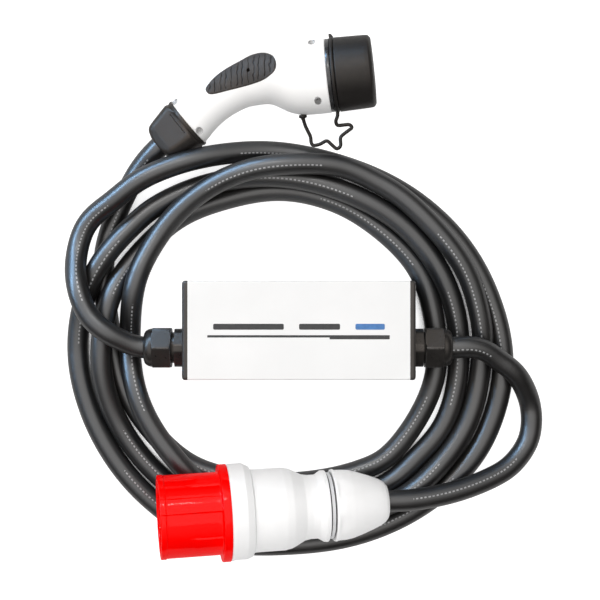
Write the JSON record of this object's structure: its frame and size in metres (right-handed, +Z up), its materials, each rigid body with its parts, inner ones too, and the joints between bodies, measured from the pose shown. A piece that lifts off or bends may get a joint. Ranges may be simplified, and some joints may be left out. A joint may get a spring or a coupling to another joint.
{
  "type": "electric car charger",
  "caption": "Portable car charging cable: a coiled black cable with an in-line control box, a capped vehicle connector and a round red and white supply plug.",
  "frame": {"origin": "centre of the control box's underside, on the surface that the object lies on", "axes": "+X along the box towards the supply side gland, +Y towards the vehicle connector, +Z up"},
  "size_m": [0.3892, 0.4243, 0.1017],
  "materials": {
    "aluminium_body": "satin white-silver extrusion",
    "bezel_black": "fine grained black plastic",
    "end_plate": "brushed plate",
    "screw_steel": "bright plated steel",
    "circuit_board": "green laminate",
    "relay_black": "smooth black plastic",
    "module_grey": "potted module",
    "terminal_green": "moulded green plastic",
    "core_insulation": "coloured core insulation",
    "gland_black": "black nylon, slight sheen",
    "seal_rubber": "soft black rubber",
    "cable_rubber": "black rubber sheath with a soft sheen",
    "shroud_red": "glossy red plastic",
    "plug_insert_grey": "moulded light grey plastic",
    "pin_metal": "nickel plated pin",
    "plug_white": "semi-gloss white plastic",
    "clamp_grey": "grey nylon clamp",
    "gun_white": "glossy white plastic",
    "grip_rubber": "dark grey soft grip with wavy ribs",
    "cap_rubber": "black rubber, fine sheen",
    "insert_black": "glossy black plastic",
    "contact_metal": "silvered brass"
  },
  "bodies": {
    "root": {"box_shell": "aluminium_body", "bezel_left": "bezel_black", "bezel_right": "bezel_black", "end_plate_left": "end_plate", "end_plate_right": "end_plate", "box_screws": "screw_steel", "control_board": "circuit_board", "relay_a": "relay_black", "relay_b": "relay_black", "power_module": "module_grey", "current_sensor": "module_grey", "terminal_in": "terminal_green", "terminal_out": "terminal_green", "supply_cores": "core_insulation", "vehicle_cores": "core_insulation", "gland_left_body": "gland_black", "gland_left_nut": "gland_black", "gland_left_seal": "seal_rubber", "gland_left_locknut": "gland_black", "gland_right_body": "gland_black", "gland_right_nut": "gland_black", "gland_right_seal": "seal_rubber", "gland_right_locknut": "gland_black", "long_cable": "cable_rubber", "short_cable": "cable_rubber", "plug_shroud": "shroud_red", "plug_insert": "plug_insert_grey", "plug_pin_earth": "pin_metal", "plug_pin_l1": "pin_metal", "plug_pin_l2": "pin_metal", "plug_pin_l3": "pin_metal", "plug_pin_n": "pin_metal", "plug_body": "plug_white", "plug_seal": "seal_rubber", "plug_clamp": "clamp_grey", "plug_nut": "plug_white", "gun_shell_upper": "gun_white", "gun_shell_lower": "gun_white", "gun_screws": "screw_steel", "grip_pad_upper": "grip_rubber", "grip_pad_lower": "grip_rubber", "gun_boot": "cap_rubber", "gun_clamp": "clamp_grey", "connector_insert": "insert_black", "contact_pe": "contact_metal", "contact_n": "contact_metal", "contact_l1": "contact_metal", "contact_l2": "contact_metal", "contact_l3": "contact_metal", "contact_pp": "contact_metal", "contact_cp": "contact_metal", "cap_tether": "cap_rubber"},
    "cap": {"dust_cap": "cap_rubber"}
  },
  "joints": [
    {"name": "cap_slide", "type": "slide", "parent": "root", "child": "cap", "axis": [0.9918, 0.0945, 0.0861], "range_m": [0, 0.06], "deforming": ["cap_tether"]}
  ]
}
